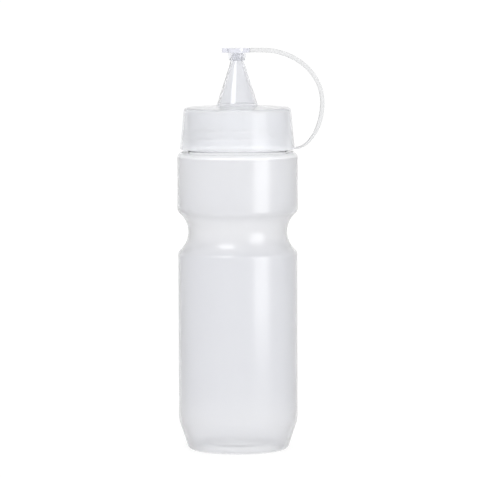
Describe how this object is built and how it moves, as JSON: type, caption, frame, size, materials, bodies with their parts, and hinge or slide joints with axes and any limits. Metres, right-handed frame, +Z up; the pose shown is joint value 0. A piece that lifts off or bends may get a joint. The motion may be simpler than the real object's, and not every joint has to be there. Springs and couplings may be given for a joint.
{
  "type": "oil squeeze bottle",
  "caption": "Translucent squeeze bottle for oil with a finger groove, a screw cap with a pouring nozzle, and a small tip cap tied on by a curved strap.",
  "frame": {"origin": "middle of the ring that the bottle stands on, on the bottle's axis", "axes": "+Z up along the bottle's axis, +X towards the strap, so the pictured front faces -Y"},
  "size_m": [0.0765, 0.0626, 0.2091],
  "materials": {
    "bottle_plastic": "frosted, translucent",
    "cap_plastic": "satin, translucent",
    "strap_plastic": "satin, translucent",
    "seal_silicone": "soft, matte"
  },
  "bodies": {
    "bottle": {"bottle": "bottle_plastic"},
    "seal": {"seal_ring": "seal_silicone"},
    "lid": {"screw_cap": "cap_plastic", "strap": "strap_plastic"},
    "tip_cap": {"tip_cap": "cap_plastic"}
  },
  "joints": [
    {"name": "cap_lift", "type": "slide", "parent": "bottle", "child": "seal", "axis": [0, 0, 1], "range_m": [0, 0.06]},
    {"name": "cap_turn", "type": "hinge", "parent": "seal", "child": "lid", "pos_m": [0, 0, 0.1567], "axis": [0, 0, 1], "range_deg": [0, 720]},
    {"name": "tip_cap_swing", "type": "hinge", "parent": "lid", "child": "tip_cap", "pos_m": [0.04073, 0, 0.19321], "axis": [0, 1, 0], "range_deg": [0, 135], "deforming": ["strap"]}
  ]
}
